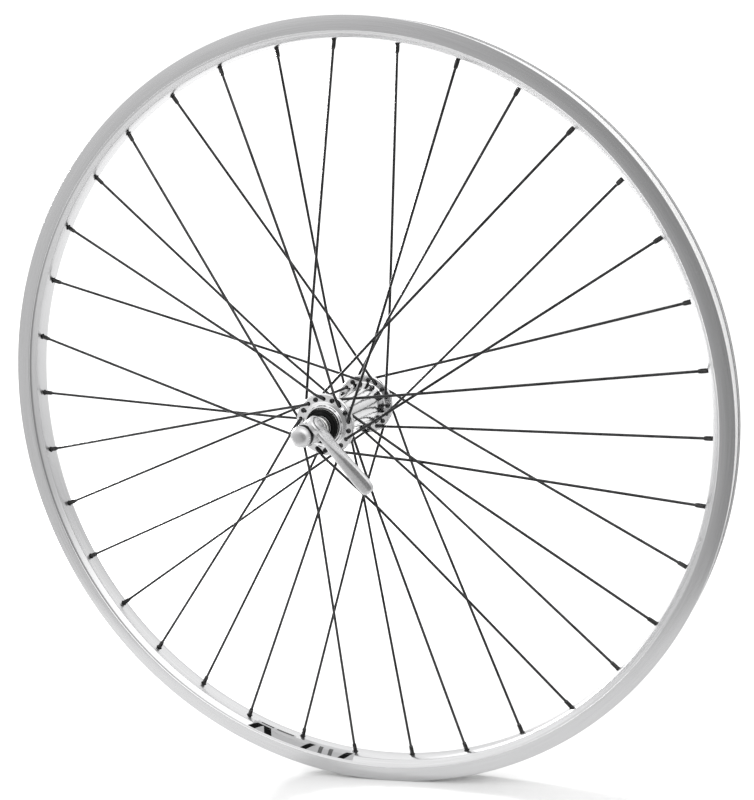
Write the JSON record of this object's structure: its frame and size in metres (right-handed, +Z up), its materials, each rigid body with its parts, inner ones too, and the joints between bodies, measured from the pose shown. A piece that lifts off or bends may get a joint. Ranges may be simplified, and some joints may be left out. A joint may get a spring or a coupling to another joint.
{
  "type": "bicycle wheel",
  "caption": "Front bicycle wheel without a tyre: alloy rim, tangent-laced wire spokes, drilled-flange hub on a hollow axle, and a quick-release skewer with a cam lever.",
  "frame": {"origin": "centre of the wheel, on the axle halfway between the two fork ends", "axes": "+Y along the axle away from the cam lever, +Z up with the wheel upright, X forwards or back; the wheel lies in the XZ plane"},
  "size_m": [0.57, 0.1551, 0.57],
  "materials": {
    "rim_alloy": "satin anodised extrusion with a fine grain along the brake track",
    "hub_alloy": "polished forging",
    "lever_alloy": "bright forging",
    "spoke_steel": "drawn stainless wire with nickelled nipples",
    "bearing_steel": "ground and polished bearing steel",
    "zinc_steel": "bright zinc plate",
    "spring_steel": "drawn wire",
    "black_rubber": "matt"
  },
  "bodies": {
    "axle_set": {"axle": "zinc_steel", "cam_housing": "lever_alloy", "spring_near": "spring_steel", "cone_near": "bearing_steel", "rubber_seal_near": "black_rubber", "keyed_washer_near": "zinc_steel", "locknut_near": "zinc_steel", "cone_far": "bearing_steel", "rubber_seal_far": "black_rubber", "keyed_washer_far": "zinc_steel", "locknut_far": "zinc_steel"},
    "wheel": {"rim": "rim_alloy", "hub_shell": "hub_alloy", "spoke_00": "spoke_steel", "spoke_01": "spoke_steel", "spoke_02": "spoke_steel", "spoke_03": "spoke_steel", "spoke_04": "spoke_steel", "spoke_05": "spoke_steel", "spoke_06": "spoke_steel", "spoke_07": "spoke_steel", "spoke_08": "spoke_steel", "spoke_09": "spoke_steel", "spoke_10": "spoke_steel", "spoke_11": "spoke_steel", "spoke_12": "spoke_steel", "spoke_13": "spoke_steel", "spoke_14": "spoke_steel", "spoke_15": "spoke_steel", "spoke_16": "spoke_steel", "spoke_17": "spoke_steel", "spoke_18": "spoke_steel", "spoke_19": "spoke_steel", "spoke_20": "spoke_steel", "spoke_21": "spoke_steel", "spoke_22": "spoke_steel", "spoke_23": "spoke_steel", "spoke_24": "spoke_steel", "spoke_25": "spoke_steel", "spoke_26": "spoke_steel", "spoke_27": "spoke_steel", "spoke_28": "spoke_steel", "spoke_29": "spoke_steel", "spoke_30": "spoke_steel", "spoke_31": "spoke_steel", "spoke_32": "spoke_steel", "spoke_33": "spoke_steel", "spoke_34": "spoke_steel", "spoke_35": "spoke_steel", "bearing_cup_near": "bearing_steel", "dust_cap_near": "zinc_steel", "bearing_cup_far": "bearing_steel", "dust_cap_far": "zinc_steel"},
    "balls_near": {"ball_ring_near": "bearing_steel"},
    "balls_far": {"ball_ring_far": "bearing_steel"},
    "lever": {"cam_lever": "lever_alloy", "cam_cap": "lever_alloy"},
    "rod": {"skewer_rod": "zinc_steel"},
    "nut_carrier": {"spring_far": "spring_steel"},
    "nut": {"adjusting_nut": "lever_alloy"}
  },
  "joints": [
    {"name": "wheel_spin", "type": "hinge", "parent": "axle_set", "child": "wheel", "pos_m": [0, 0, 0], "axis": [0, 1, 0], "continuous": true},
    {"name": "balls_near_spin", "type": "hinge", "parent": "axle_set", "child": "balls_near", "pos_m": [0, -0.0335, 0], "axis": [0, 1, 0], "continuous": true},
    {"name": "balls_far_spin", "type": "hinge", "parent": "axle_set", "child": "balls_far", "pos_m": [0, 0.0335, 0], "axis": [0, 1, 0], "continuous": true},
    {"name": "lever_turn", "type": "hinge", "parent": "axle_set", "child": "lever", "pos_m": [0, -0.0672, 0], "axis": [-0.866, 0, -0.5], "range_deg": [0, 180]},
    {"name": "rod_pull", "type": "slide", "parent": "axle_set", "child": "rod", "axis": [0, 1, 0], "range_m": [0, 0.0018]},
    {"name": "nut_travel", "type": "slide", "parent": "rod", "child": "nut_carrier", "axis": [0, 1, 0], "range_m": [0, 0.0024]},
    {"name": "nut_turn", "type": "hinge", "parent": "nut_carrier", "child": "nut", "pos_m": [0, 0.0563, 0], "axis": [0, 1, 0], "range_deg": [0, 1080]}
  ],
  "couplings": [
    {"joint": "balls_near_spin", "follows": "wheel_spin", "ratio": 0.36},
    {"joint": "balls_far_spin", "follows": "wheel_spin", "ratio": 0.36},
    {"joint": "lever_turn", "follows": "rod_pull", "rad_per_m": 1745.3},
    {"joint": "nut_turn", "follows": "nut_travel", "rad_per_m": 7853.9}
  ]
}
